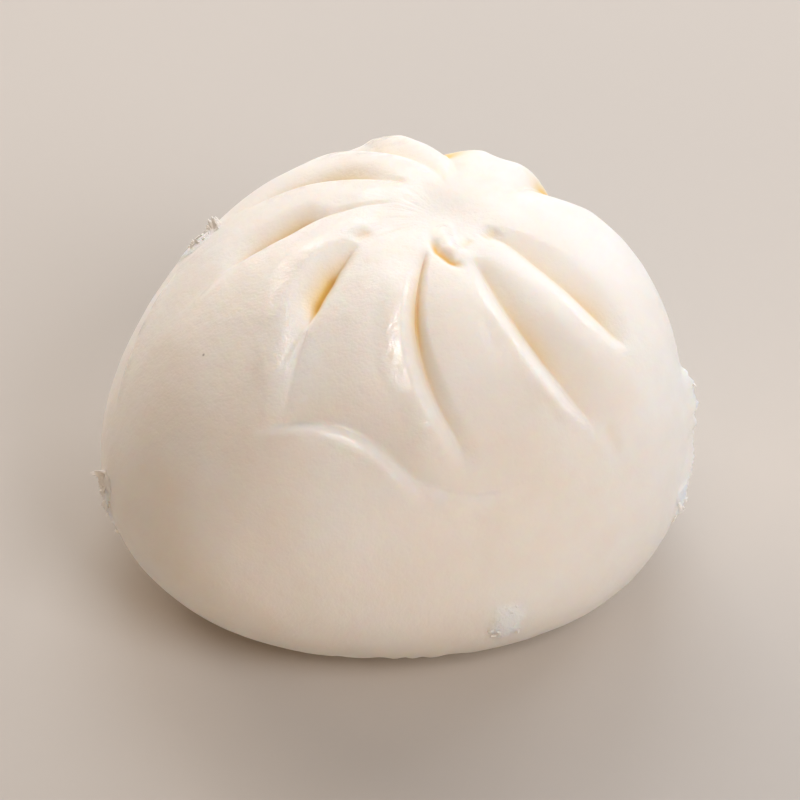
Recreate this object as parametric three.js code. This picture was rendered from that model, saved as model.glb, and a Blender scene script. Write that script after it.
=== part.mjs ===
// A steamed bun: one round of yeast dough, pleated by hand and pinched shut in a knot on top.
//
// Millimetres, +Z up, standing on z = 0 with the middle of its plan on the origin.
// The front of the bun faces -Y. Bearings are in degrees, counted from +X towards +Y.
//
// The skin is one closed surface. Plain lines run from the knot over the crown to the belly and
// under it to the foot. Each pleat's crease is one of these lines, so it is sharp in the mesh, and
// the other lines share out the dough between two creases. Relief is added along the normal.

import * as THREE from 'three';

// ---- The plain form ------------------------------------------------------------------------------

const BELLY_HALF_WIDTH = 45.0; // along X
const BELLY_HALF_DEPTH = 43.5; // along Y
const BELLY_HEIGHT = 19.0; // where the bun is widest
const HEIGHT = 59.2;
const FOOT_RADIUS = 27.0; // the flat that it rests on
const CROWN_FULLNESS = 2.27; // exponent of the upper profile: 2 is an ellipse, more is fuller
const CROWN_EASE = 40; // slope, in degrees over the belly, at which the upper profile is that full
const SKIRT_FULLNESS = 2.0; // the same for the profile under the belly

const KNOT = { x: 8.2, y: 5.0 }; // the knot stands off the middle, to the right and to the back
const LEAN = { x: 7.6, y: 2.5 }; // the crown's shoulder leans the same way
const LEAN_POWER = 1.5; // over 1 keeps the lean near the top
const KNOT_BLEND = 20.0; // radius in which the pleats' centre moves to the knot
const KNOT_DISH = 1.5; // the gathered top sinks by this much
const KNOT_DISH_RADIUS = 7.0;

// The plan is a little out of round: a share of the radius, with the bearing of its first high side.
const OVAL = { share: 0.015, toward: 140 };
const THREE_SIDED = { share: 0.04, toward: 95 };

// The middle of the plan, which goes to the origin.
const PLAN_MIDDLE = { x: 1.19, y: 1.71 };

// ---- The pleats ----------------------------------------------------------------------------------
//
// A crease is given by its bearings at three distances from the knot, measured over the skin. Its
// depth and the widths of its steep and gentle walls are courses: each pair is a distance from the
// knot and the size there, and between two pairs the size eases over. The steep wall is that of the
// lobe on top: 'before' is towards lower bearings, 'after' towards higher ones. lip is how far the
// rolled edge of that lobe stands up.

const CREASE_STATIONS = [8, 24, 40];
const PLEATS = [
  {
    name: 'right back', bearings: [41, 45, 49], lap: 'after', lip: 0, roundness: 1.4,
    depth: [[8, 0], [16, 0.7], [28, 3.2], [40, 2.4], [49, 0]],
    steep: [[8, 1.5], [28, 8.5]], gentle: [[8, 3], [28, 9]],
  },
  {
    name: 'back tuck', bearings: [62, 66, 69], lap: 'after', lip: 0,
    depth: [[9, 0], [14, 0.35], [20, 0.2], [25, 0]],
    steep: [[8, 1.6], [20, 2]], gentle: [[8, 2], [20, 3.5]],
  },
  {
    name: 'back', bearings: [78, 85, 91], lap: 'after', lip: 0, hollow: 1.1,
    depth: [[8, 0], [16, 0.7], [28, 3], [38, 2.2], [46, 0]],
    steep: [[8, 1.5], [28, 4]], gentle: [[8, 3], [28, 10]],
  },
  {
    name: 'left back', bearings: [87, 106, 113], lap: 'after', lip: 0.2,
    depth: [[6, 0], [13, 0.6], [26, 1.2], [41, 0]],
    steep: [[8, 1.5], [26, 3]], gentle: [[8, 2.5], [26, 6]],
  },
  {
    name: 'far left', bearings: [115, 136, 153], lap: 'after', lip: 0.15,
    depth: [[8, 0], [12, 0.7], [21, 2], [28, 1.5], [37, 0]],
    steep: [[8, 1], [22, 2.2]], gentle: [[9, 1.2], [20, 5], [34, 6]],
  },
  {
    name: 'left', bearings: [150, 172.5, 188], lap: 'after', lip: 0.15,
    depth: [[7, 0], [11, 0.5], [17, 0.8], [22, 2.3], [27, 1.6], [34, 0.3], [42, 0]],
    steep: [[8, 0.8], [17, 1], [23, 2.4]], gentle: [[10, 0.9], [16, 1.4], [22, 6.5], [34, 7]],
  },
  {
    name: 'front left', bearings: [191, 219, 235], lap: 'after', lip: 0, hollow: 2.3,
    depth: [[13, 0], [18, 1.8], [21, 2.8], [24.5, 2.6], [30, 0.6], [38, 0.35], [45, 0]],
    steep: [[12, 1.4], [18, 2.4]], gentle: [[12, 2.4], [19, 6.5], [24, 7], [32, 4]],
  },
  {
    name: 'front', bearings: [253, 263, 278.3], lap: 'before', lip: 0.5,
    depth: [[8, 0], [12, 1.8], [22, 2.5], [30, 1.7], [38, 1.4], [42, 0.9], [46.5, 0]],
    steep: [[8, 1.4], [18, 2.2], [30, 2.8]], gentle: [[9, 1.2], [22, 2], [34, 3.4], [44, 4]],
  },
  {
    name: 'front right', bearings: [297, 303, 311.5], lap: 'before', lip: 0.25,
    depth: [[10, 0], [15, 1.2], [30, 1.7], [39, 1.2], [47, 0]],
    steep: [[10, 1.8], [20, 2.8], [38, 3.2]], gentle: [[10, 2.4], [22, 6], [40, 7.5]],
  },
  {
    name: 'right', bearings: [334, 331, 333], lap: 'before', lip: 0.1,
    depth: [[6, 0], [10, 1], [18, 1.2], [29, 1.6], [33, 1.3], [37, 0]],
    steep: [[8, 1.6], [18, 2.8]], gentle: [[6, 2.4], [20, 6], [30, 6.5], [36, 3]],
  },
];
const CREASE_EASE = 4; // past its outer stations a crease turns this much further at most
// A pleat without a roundness or a hollow of its own takes these two.
const STEEP_ROUNDNESS = 1.9; // 1 makes a straight wall, 2 makes one as round as a pipe
const GENTLE_HOLLOW = 1.6; // 1 makes a straight wall, more makes it hollow towards its top
const LIP_RISES_FROM = 0.2; // where the rolled edge begins and ends, in widths of the steep wall
const LIP_ENDS = 2.8;
const LIP_GROWS = [10, 22]; // distances from the knot over which it grows to its height
const LOBE_SHARE = 0.75; // the most of a lobe that one wall may take
const LOBE_SWELL = 0.5; // how far a lobe's back stands proud of the plain form
const SWELL_FROM = [6, 20]; // distances from the knot over which the lobes swell up
const SWELL_TO = [27.6, 46]; // and over which they run out

// Two soft steps close the front lobes below: where the lobe's skin rolls under itself.
const ROLLS = [
  { from: 226, to: 277, lowest: 249, near: 42.2, rise: 0.013, depth: 1.3, above: 8, below: 2.2 },
  { from: 265, to: 302, lowest: 284, near: 49.6, rise: -0.012, depth: 0.65, above: 5, below: 3 },
];
const ROLL_EASE = 12; // degrees over which a roll fades out at each end

// ---- Ridges and pinches --------------------------------------------------------------------------
//
// Bent lines on the gathered top, in millimetres from the knot over the skin: the knot's own roll of
// dough with the fold under it, the dents that fingers left, and soft ridges. half is the half width.

const STROKES = [
  { name: 'knot roll', half: 2.1, height: 0.65, path: [[0, -1], [0.2, -4.2], [1.4, -7.6], [3.6, -9.9]] },
  {
    name: 'knot fold', half: 1.4, height: -0.6,
    path: [[-1.8, -5.3], [-0.7, -8.3], [1.5, -10.6], [3.9, -11.6]],
  },
  { name: 'knot nick', half: 1.5, height: -0.25, path: [[3.2, -7.6], [4.6, -5.2]] },
  { name: 'right pocket', half: 2.4, height: -0.3, path: [[6.4, -4.9], [7.4, -3.6], [8.6, -2]] },
  { name: 'front left pocket', half: 2.6, height: -0.28, path: [[-13.4, -3.8], [-11, -2.2]] },
  {
    name: 'front left rim', half: 4, height: 0.35,
    path: [[-17.5, -2.4], [-21.5, -5.2], [-23.8, -14.8], [-26.1, -23.5], [-24.7, -33]],
  },
  {
    name: 'left lip', half: 2.4, height: 0.2,
    path: [[-26, 3.2], [-30.8, -0.3], [-36, -4], [-41.1, -7.2]],
  },
  {
    name: 'left fold', half: 1.6, height: 0.25,
    path: [[-42, 12.5], [-46.2, 7.3], [-50.9, 1.3], [-54.9, -5.8], [-58.4, -12.4]],
  },
  {
    name: 'front right ridge', half: 1.9, height: 0.35,
    path: [[18, -28], [23.5, -31], [27.6, -31.8], [30.5, -31.6]],
  },
  {
    name: 'front right dent', half: 2.8, height: -0.3,
    path: [[31.5, -30.2], [33.6, -30.2], [35.6, -31.4], [37.7, -33]],
  },
  { name: 'back left swell', half: 11, height: 0.8, path: [[-2, 31], [-8, 30]] },
];
const STROKE_TAPER = 0.25; // share of the line in which it rises to its height at each end
const STROKE_END = 0.1; // share of the line by which it runs out past its ends

// ---- Torn skin -----------------------------------------------------------------------------------
//
// Where the bun stuck to its neighbours, the skin is pulled up: in a strip down the right side, whose
// ragged edge stands off, and in rough patches.

const FLAP = {
  edge: [[48, 357], [60, 352], [72, 343]], // bearings of the edge at distances from the knot
  height: [[49.5, 0], [53, 1.9], [60, 1.6], [65, 1.4], [69, 0.5], [73, 0]],
  climb: 6.5, // width in which the skin climbs to the edge
  drop: 2.6, // width in which it drops off behind the edge
  hollow: 2.2, // 1 makes a straight climb, more makes it hollow
};
const TEARS = [
  { bearing: 343, halfSpan: 4, distance: 69.5, halfLength: 4, height: 0.5, grain: 1.6 },
  { bearing: 198, halfSpan: 5, distance: 75, halfLength: 6, height: 0.4, grain: 1.8 },
  { bearing: 155, halfSpan: 5, distance: 43, halfLength: 4, height: 0.4, grain: 1.6 },
  { bearing: 294, halfSpan: 3.2, distance: 72, halfLength: 3.6, height: 0.5, grain: 1.8 },
];
const GRAIN_ACROSS = 0.7; // millimetres that a degree counts for in the grain
const TEAR_EDGE = [0.7, 1.1]; // shares of a patch's half sizes over which it fades out
const TEAR_RAGGED = 0.25; // how far the grain frays that edge
const TEAR_EVEN = 0.6; // share of a patch's height that is even, the rest being rough

// ---- The mesh ------------------------------------------------------------------------------------

const CROWN_ROWS = 38;
const SKIRT_ROWS = 9;
const COLUMNS = 116; // shared out among the lobes by their width
const FEWEST_IN_LOBE = 6;
const CREASE_CROWDING = 0.6; // 0 spaces the columns evenly, near 1 crowds them at the creases
const KNOT_CROWDING = 1.3; // over 1 sets the rows closer round the knot
const NORMAL_STEP = 0.4; // degrees to each side over which the plain form's normal is taken
const SETTLES_OVER = 1.5; // height over the floor at which the relief is in full

const DOUGH = { color: 0xf2e7d8, roughness: 0.55, metalness: 0.0 };

// ---- Small helpers -------------------------------------------------------------------------------

const radians = (degrees) => (degrees * Math.PI) / 180;

function smooth(low, high, value) {
  return THREE.MathUtils.smoothstep(value, low, high);
}

/** Degrees from one bearing to another, between -180 and 180. */
function turn(from, to) {
  return THREE.MathUtils.euclideanModulo(to - from + 180, 360) - 180;
}

/** A number between 0 and 1 that depends on the two whole numbers alone. */
function scatter(i, j) {
  const wave = Math.sin(i * 127.1 + j * 311.7) * 43758.5453;
  return wave - Math.floor(wave);
}

/** Rough ground between -1 and 1, one bump to a unit. */
function roughness(x, y) {
  const column = Math.floor(x);
  const row = Math.floor(y);
  const across = smooth(0, 1, x - column);
  const along = smooth(0, 1, y - row);
  const near = THREE.MathUtils.lerp(scatter(column, row), scatter(column + 1, row), across);
  const far = THREE.MathUtils.lerp(scatter(column, row + 1), scatter(column + 1, row + 1), across);
  return 2 * THREE.MathUtils.lerp(near, far, along) - 1;
}

/** A size that changes along a line, easing from each pair of its course to the next. */
function follow(course, distance) {
  let size = course[0][1];
  for (let i = 0; i + 1 < course.length; i += 1) {
    const [here, now] = course[i];
    const [there, then] = course[i + 1];
    size += (then - now) * smooth(here, there, distance);
  }
  return size;
}

/** How far a place is from a bent line, and the share of the line at its nearest point. */
function nearestOnPath(x, y, path) {
  let nearest = Infinity;
  let along = 0;
  for (let i = 0; i + 1 < path.length; i += 1) {
    const [ax, ay] = path[i];
    const [bx, by] = path[i + 1];
    const lengthSquared = (bx - ax) ** 2 + (by - ay) ** 2;
    const share = THREE.MathUtils.clamp(((x - ax) * (bx - ax) + (y - ay) * (by - ay)) / lengthSquared, 0, 1);
    const away = Math.hypot(x - ax - share * (bx - ax), y - ay - share * (by - ay));
    if (away < nearest) {
      nearest = away;
      along = (i + share) / (path.length - 1);
    }
  }
  return { nearest, along };
}

// ---- The plain form ------------------------------------------------------------------------------

/** How far the plan stands out at a bearing, as a share of the belly. */
function planShare(bearing) {
  const oval = OVAL.share * Math.cos(radians(2 * (bearing - OVAL.toward)));
  return 1 + oval + THREE_SIDED.share * Math.cos(radians(3 * (bearing - THREE_SIDED.toward)));
}

/** Power of the upper profile at a slope: an ellipse at the belly, and fuller over it. */
function crownPower(slope) {
  return 2 / THREE.MathUtils.lerp(2, CROWN_FULLNESS, smooth(0, CROWN_EASE, slope));
}

/**
 * Share of the belly's radius, at a slope: 90 degrees is the knot, 0 is the belly, -90 is the foot.
 */
function radiusShare(slope) {
  const cosine = Math.max(Math.cos(radians(slope)), 0);
  if (slope >= 0) {
    return cosine ** crownPower(slope);
  }
  const foot = FOOT_RADIUS / BELLY_HALF_WIDTH;
  return foot + (1 - foot) * cosine ** (2 / SKIRT_FULLNESS);
}

/** A place on the plain form, without pleats. */
function plainForm(bearing, slope) {
  const share = radiusShare(slope);
  const sine = Math.abs(Math.sin(radians(slope)));
  const place = new THREE.Vector3();
  if (slope >= 0) {
    const climb = sine ** crownPower(slope);
    const radius = share * BELLY_HALF_WIDTH;
    const away = smooth(0, KNOT_BLEND, radius);
    const lean = climb ** LEAN_POWER * away;
    const dish = KNOT_DISH * Math.exp(-((radius / KNOT_DISH_RADIUS) ** 2));
    place.x = KNOT.x * (1 - away) + LEAN.x * lean;
    place.y = KNOT.y * (1 - away) + LEAN.y * lean;
    place.z = BELLY_HEIGHT + (HEIGHT - BELLY_HEIGHT) * climb - dish;
  } else {
    place.z = BELLY_HEIGHT * (1 - sine ** (2 / SKIRT_FULLNESS));
  }
  const out = share * planShare(bearing);
  place.x += out * BELLY_HALF_WIDTH * Math.cos(radians(bearing));
  place.y += out * BELLY_HALF_DEPTH * Math.sin(radians(bearing));
  return place;
}

/** The plain form's outward normal. */
function plainNormal(bearing, slope) {
  const around = plainForm(bearing + NORMAL_STEP, slope).sub(plainForm(bearing - NORMAL_STEP, slope));
  const above = plainForm(bearing, Math.min(slope + NORMAL_STEP, 90));
  const up = above.sub(plainForm(bearing, Math.max(slope - NORMAL_STEP, -90)));
  return around.cross(up).normalize();
}

// ---- The relief ----------------------------------------------------------------------------------

/** A length past the last station, eased so that the crease runs straight on. */
function straighten(length) {
  return CREASE_EASE * (1 - Math.exp(-length / CREASE_EASE));
}

/** A crease's bearing at a distance from the knot: a parabola through its three stations. */
function creaseBearing(pleat, distance) {
  const [near, middle, far] = CREASE_STATIONS;
  const [a, b, c] = pleat.bearings;
  const past = Math.max(distance - far, 0);
  const short = Math.max(near - distance, 0);
  const along = THREE.MathUtils.clamp(distance, near, far) + straighten(past) - straighten(short);
  const first = (b - a) / (middle - near);
  const second = ((c - b) / (far - middle) - first) / (far - near);
  return a + (along - near) * (first + second * (along - middle));
}

/** Height of one wall of a pleat, on the given side of its crease, at a distance across it. */
function wallHeight(pleat, side, distance, across, lobeWidth) {
  const depth = follow(pleat.depth, distance);
  const steep = pleat.lap === side;
  const width = Math.min(follow(steep ? pleat.steep : pleat.gentle, distance), LOBE_SHARE * lobeWidth);
  const inward = Math.max(1 - across / width, 0);
  if (!steep) {
    return -depth * inward ** (pleat.hollow ?? GENTLE_HOLLOW);
  }
  const roundness = pleat.roundness ?? STEEP_ROUNDNESS;
  const wall = 1 - (1 - inward ** roundness) ** (1 / roundness);
  const deepest = Math.max(...pleat.depth.map((pair) => pair[1]));
  const lip = pleat.lip * smooth(...LIP_GROWS, distance) * Math.min((2 * depth) / deepest, 1);
  const rolled = smooth(LIP_RISES_FROM, 1, across / width) * (1 - smooth(1, LIP_ENDS, across / width));
  return lip * rolled - depth * wall;
}

/** Depth of the soft step under the front lobes. */
function rollDepth(roll, bearing, distance) {
  const start = smooth(roll.from, roll.from + ROLL_EASE, bearing);
  const end = 1 - smooth(roll.to - ROLL_EASE, roll.to, bearing);
  const across = distance - (roll.near + roll.rise * (bearing - roll.lowest) ** 2);
  const width = across < 0 ? roll.above : roll.below;
  return roll.depth * start * end * Math.max(1 - Math.abs(across) / width, 0) ** 2;
}

/** Height of the strip of skin that stands off down the right side. */
function flapHeight(bearing, distance, radius) {
  const across = radians(turn(follow(FLAP.edge, distance), bearing)) * radius;
  const climb = Math.max(1 + across / FLAP.climb, 0) ** FLAP.hollow;
  const drop = 1 - smooth(0, FLAP.drop, across);
  return follow(FLAP.height, distance) * (across < 0 ? climb : drop);
}

/** Height of a torn patch's rough ground. */
function tearHeight(tear, bearing, distance) {
  const across = turn(tear.bearing, bearing) / tear.halfSpan;
  const along = (distance - tear.distance) / tear.halfLength;
  const ground = roughness((bearing * GRAIN_ACROSS) / tear.grain, distance / tear.grain);
  const inside = 1 - smooth(...TEAR_EDGE, Math.hypot(across, along) + TEAR_RAGGED * ground);
  return tear.height * inside * THREE.MathUtils.lerp(ground, 1, TEAR_EVEN);
}

/** Height of a ridge or a pinch along a bent line on the gathered top. */
function strokeHeight(stroke, x, y) {
  const { nearest, along } = nearestOnPath(x, y, stroke.path);
  const start = smooth(-STROKE_END, STROKE_TAPER, along);
  const end = smooth(-STROKE_END, STROKE_TAPER, 1 - along);
  return stroke.height * start * end * smooth(0, 1, 1 - nearest / stroke.half);
}

/** Everything that stands proud of the plain form or lies below it, along the normal. */
function relief(lobe, share, bearing, distance, radius, lobeWidth) {
  const swelling = smooth(...SWELL_FROM, distance) * (1 - smooth(...SWELL_TO, distance));
  let height = LOBE_SWELL * swelling * Math.sin(Math.PI * share) ** 2;
  height += wallHeight(lobe.first, 'after', distance, share * lobeWidth, lobeWidth);
  height += wallHeight(lobe.last, 'before', distance, (1 - share) * lobeWidth, lobeWidth);
  for (const roll of ROLLS) {
    height -= rollDepth(roll, bearing, distance);
  }
  for (const tear of TEARS) {
    height += tearHeight(tear, bearing, distance);
  }
  const x = distance * Math.cos(radians(bearing));
  const y = distance * Math.sin(radians(bearing));
  for (const stroke of STROKES) {
    height += strokeHeight(stroke, x, y);
  }
  return height + flapHeight(bearing, distance, radius);
}

// ---- The mesh ------------------------------------------------------------------------------------

/** The lobes between two creases each, with the number of columns that each one takes. */
function layOutLobes() {
  return PLEATS.map((first, i) => {
    const last = PLEATS[(i + 1) % PLEATS.length];
    const span = THREE.MathUtils.euclideanModulo(last.bearings[1] - first.bearings[1], 360);
    const columns = Math.max(Math.round((COLUMNS * span) / 360), FEWEST_IN_LOBE);
    return { first, last, columns };
  });
}

/** Slopes of the rows, from just below the knot to the foot. */
function rowSlopes() {
  const slopes = [];
  for (let i = 1; i <= CROWN_ROWS; i += 1) {
    slopes.push(90 * (1 - (i / CROWN_ROWS) ** KNOT_CROWDING));
  }
  for (let i = 1; i <= SKIRT_ROWS; i += 1) {
    slopes.push((-90 * i) / SKIRT_ROWS);
  }
  return slopes;
}

/** One column of the skin, from just below the knot to the foot. */
function skinColumn(lobe, share, slopes) {
  const column = [];
  let distance = 0;
  let lastSlope = 90;
  const bearingAt = (along) => {
    const low = creaseBearing(lobe.first, along);
    const span = THREE.MathUtils.euclideanModulo(creaseBearing(lobe.last, along) - low, 360);
    return { bearing: low + span * share, span };
  };
  for (const slope of slopes) {
    const previous = bearingAt(distance).bearing;
    distance += plainForm(previous, slope).distanceTo(plainForm(previous, lastSlope));
    lastSlope = slope;
    const { bearing, span } = bearingAt(distance);
    const place = plainForm(bearing, slope);
    if (slope > -90) {
      const radius = radiusShare(slope) * BELLY_HALF_WIDTH;
      const wrapped = THREE.MathUtils.euclideanModulo(bearing, 360);
      const height = relief(lobe, share, wrapped, distance, radius, radians(span) * radius);
      const settle = smooth(0, SETTLES_OVER, place.z); // the foot's rim stays on the floor
      place.addScaledVector(plainNormal(bearing, slope), settle * height);
    }
    column.push(place);
  }
  return column;
}

/** The closed skin: the knot, the columns and the flat foot. */
function bunGeometry() {
  const slopes = rowSlopes();
  const columns = [];
  for (const lobe of layOutLobes()) {
    for (let i = 0; i < lobe.columns; i += 1) {
      const even = i / lobe.columns;
      const share = even - (CREASE_CROWDING * Math.sin(2 * Math.PI * even)) / (2 * Math.PI);
      columns.push(skinColumn(lobe, share, slopes));
    }
  }
  const places = [plainForm(0, 90), ...columns.flat(), new THREE.Vector3(0, 0, 0)];
  const rows = slopes.length;
  const foot = places.length - 1;
  const faces = [];
  columns.forEach((column, i) => {
    const here = 1 + i * rows;
    const next = 1 + ((i + 1) % columns.length) * rows;
    faces.push(0, here, next);
    for (let row = 0; row + 1 < rows; row += 1) {
      faces.push(here + row, here + row + 1, next + row + 1);
      faces.push(here + row, next + row + 1, next + row);
    }
    faces.push(here + rows - 1, foot, next + rows - 1);
  });
  const geometry = new THREE.BufferGeometry();
  geometry.setFromPoints(places);
  geometry.setIndex(faces);
  geometry.translate(-PLAN_MIDDLE.x, -PLAN_MIDDLE.y, 0);
  geometry.computeVertexNormals();
  return geometry;
}

const bun = new THREE.Mesh(bunGeometry(), new THREE.MeshStandardMaterial(DOUGH));
bun.name = 'bun';

const group = new THREE.Group();
group.name = 'steamed_bun';
group.add(bun);

export default group;
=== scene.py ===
"""A steamed bun of white yeast dough, pleated by hand and pinched shut in a knot.

Sizes are in millimetres, as a baker would give them, and MM turns them into metres when a mesh is
made. +Z is up, the front of the bun faces -Y, and bearings are in degrees from +X towards +Y.

The skin is one closed surface. Its rows are slopes, from 90 degrees at the knot over 0 at the belly
to -90 at the foot, and its columns run out from the knot, so that each crease is a column.
"""

from __future__ import annotations

import logging
import math
from dataclasses import dataclass
from enum import Enum

import bpy
import numpy as np
from bpy.types import Material, Node, NodeSocket, NodeTree, NodesModifier, Object
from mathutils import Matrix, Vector


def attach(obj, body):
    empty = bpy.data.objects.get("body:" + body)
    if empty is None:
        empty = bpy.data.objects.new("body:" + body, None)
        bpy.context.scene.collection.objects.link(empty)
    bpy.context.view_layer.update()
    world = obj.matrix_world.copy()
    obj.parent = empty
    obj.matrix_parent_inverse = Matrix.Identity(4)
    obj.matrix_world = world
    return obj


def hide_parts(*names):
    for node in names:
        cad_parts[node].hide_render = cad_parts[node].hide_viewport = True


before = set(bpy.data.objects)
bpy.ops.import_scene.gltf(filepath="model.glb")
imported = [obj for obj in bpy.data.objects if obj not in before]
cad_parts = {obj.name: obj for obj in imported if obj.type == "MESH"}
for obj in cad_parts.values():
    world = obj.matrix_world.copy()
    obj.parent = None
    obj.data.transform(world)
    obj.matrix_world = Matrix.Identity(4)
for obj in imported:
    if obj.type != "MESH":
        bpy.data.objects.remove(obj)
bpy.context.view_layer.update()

log = logging.getLogger("steamed_bun")

MM = 0.001
BODY = "root"
CAD_BUN = "bun"

# Large numbers that scatter a sine's fractions evenly: for a column, for a row, and its gain.
SCATTER = (127.1, 311.7, 43758.5453)

Span = tuple[float, float]
Course = tuple[tuple[float, float], ...]
Faces = list[tuple[int, ...]]


class SkinData(Enum):
    """Point attributes that the skin carries for its finish and its Geometry Nodes trees."""

    # How deep in a crease a place is; the finish paints warm shade into the creases with it.
    CREASE = "crease"
    TORN = "torn"
    FRAY = "fray"
    CALM = "calm"
    GATHER = "gather"
    DAMP = "damp"
    SPOKES = "spokes"


class Lap(Enum):
    """The side of a pleat whose lobe laps over the other one, and so has the steep wall."""

    BEFORE = "towards lower bearings"
    AFTER = "towards higher bearings"


# ---- Small helpers -------------------------------------------------------------------------------


def linear_colour(code: str) -> tuple[float, float, float, float]:
    """Turn an sRGB hex code into a linear colour.

    Args:
        code: The colour as "#rrggbb".

    Returns:
        Red, green and blue in linear light, and an alpha of 1.
    """
    shares = [int(code[i:i + 2], 16) / 255 for i in (1, 3, 5)]
    red, green, blue = [s / 12.92 if s <= 0.04045 else ((s + 0.055) / 1.055) ** 2.4 for s in shares]
    return red, green, blue, 1.0


def add_node(tree: NodeTree, kind: str, inputs: dict | None = None, **settings) -> Node:
    """Add a node to a tree, with its settings and what its inputs hold.

    Args:
        tree: The tree that gets the node.
        kind: The node's type.
        inputs: For an input's name or number, a value or what feeds it: an output socket, or a node
            for its first one.
        **settings: The node's own properties.

    Returns:
        The new node.
    """
    node = tree.nodes.new(kind)
    for name, value in settings.items():
        setattr(node, name, value)
    for key, value in (inputs or {}).items():
        source = value.outputs[0] if isinstance(value, Node) else value
        if isinstance(source, NodeSocket):
            tree.links.new(source, node.inputs[key])
        else:
            node.inputs[key].default_value = source
    return node


def new_material(name: str) -> tuple[Material, NodeTree, NodeSocket]:
    """Start a material.

    Args:
        name: The material's name.

    Returns:
        The material, its empty node tree, and the socket that gives places on the piece.
    """
    material = bpy.data.materials.new(name)
    material.use_nodes = True
    tree = material.node_tree
    tree.nodes.clear()
    return material, tree, add_node(tree, "ShaderNodeTexCoord").outputs["Object"]


def new_geometry_tree(name: str, sizes: list[str], seed: str) -> tuple[NodeTree, Node]:
    """Start a Geometry Nodes tree that takes a mesh, named sizes, a seed and a material.

    Args:
        name: The tree's name.
        sizes: The name of each size.
        seed: The kind of socket for the seed.

    Returns:
        The tree and the node that gives its inputs.
    """
    tree = bpy.data.node_groups.new(name, "GeometryNodeTree")
    tree.interface.new_socket("Geometry", in_out="OUTPUT", socket_type="NodeSocketGeometry")
    kinds = {
        "Geometry": "NodeSocketGeometry", **dict.fromkeys(sizes, "NodeSocketFloat"),
        "Seed": seed, "Material": "NodeSocketMaterial"}
    for label, kind in kinds.items():
        tree.interface.new_socket(label, in_out="INPUT", socket_type=kind)
    return tree, add_node(tree, "NodeGroupInput")


def set_inputs(modifier: NodesModifier, values: dict[str, object]) -> None:
    """Set a Geometry Nodes modifier's inputs by the names that its tree gives them.

    Args:
        modifier: The modifier, with its tree in place.
        values: The value for each named input.
    """
    for item in modifier.node_group.interface.items_tree:
        if item.item_type == "SOCKET" and item.in_out == "INPUT" and item.name in values:
            modifier[item.identifier] = values[item.name]


def bake_modifiers(piece: Object) -> None:
    """Replace a piece's mesh by the one that its modifiers make, and take them off.

    Args:
        piece: The object to turn into a plain mesh.
    """
    graph = bpy.context.evaluated_depsgraph_get()
    result = piece.evaluated_get(graph)
    mesh = bpy.data.meshes.new_from_object(result, preserve_all_data_layers=True, depsgraph=graph)
    mesh.name = piece.name
    piece.modifiers.clear()
    piece.data = mesh


def link_mesh(name: str, places: np.ndarray, faces: Faces) -> Object:
    """Make a smooth mesh object in the scene, at the origin.

    Args:
        name: The object's name.
        places: One row of x, y and z in millimetres for each point.
        faces: The points of each face, counter-clockwise from outside.

    Returns:
        The new object.
    """
    mesh = bpy.data.meshes.new(name)
    mesh.from_pydata((places * MM).tolist(), [], faces)
    mesh.shade_smooth()
    mesh.update()
    piece = bpy.data.objects.new(name, mesh)
    bpy.context.scene.collection.objects.link(piece)
    return piece


def smooth(low: float, high: float, value: np.ndarray) -> np.ndarray:
    """Ease from 0 to 1.

    Args:
        low: The value that gives 0.
        high: The value that gives 1.
        value: The values to ease.

    Returns:
        The eased shares.
    """
    share = np.clip((value - low) / (high - low), 0.0, 1.0)
    return share * share * (3.0 - 2.0 * share)


def follow(course: Course, distance: np.ndarray) -> np.ndarray:
    """Give a size that changes along a line, easing from each station to the next.

    Args:
        course: The stations, each with its distance and the size there.
        distance: The distances at which the size is wanted.

    Returns:
        The size at each distance.
    """
    size = np.full(np.shape(distance), float(course[0][1]))
    for (here, now), (there, then) in zip(course, course[1:]):
        size = size + (then - now) * smooth(here, there, distance)
    return size


def between(limits: Span, ease: float, value: np.ndarray) -> np.ndarray:
    """Give 1 between two limits and 0 outside them, easing over a stretch inside each."""
    low, high = limits
    return smooth(low, low + ease, value) * (1 - smooth(high - ease, high, value))


def turn(start: float | np.ndarray, end: np.ndarray) -> np.ndarray:
    """Give the turn from one bearing to others, between -180 and 180 degrees."""
    return (end - start + 180.0) % 360.0 - 180.0


def scatter(column: np.ndarray, row: np.ndarray) -> np.ndarray:
    """Give numbers that look random but depend on two whole numbers alone.

    Args:
        column: The first whole numbers.
        row: The second whole numbers.

    Returns:
        Numbers between 0 and 1.
    """
    by_column, by_row, gain = SCATTER
    wave = np.sin(column * by_column + row * by_row) * gain
    return wave - np.floor(wave)


def roughness(x: np.ndarray, y: np.ndarray) -> np.ndarray:
    """Give rough ground with one bump to a unit.

    Args:
        x: Places along the first axis.
        y: Places along the second axis.

    Returns:
        Heights between -1 and 1.
    """
    column, row = np.floor(x), np.floor(y)
    across = smooth(0.0, 1.0, x - column)
    along = smooth(0.0, 1.0, y - row)
    near = scatter(column, row) * (1 - across) + scatter(column + 1, row) * across
    far = scatter(column, row + 1) * (1 - across) + scatter(column + 1, row + 1) * across
    return 2 * (near * (1 - along) + far * along) - 1


# ---- Finishes ------------------------------------------------------------------------------------


@dataclass(frozen=True)
class Grain:
    """A noise: its size and depth in millimetres, and the finer noise that it carries."""

    size: float
    depth: float = 0.0
    detail: float = 3.0
    roughness: float = 0.5


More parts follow.
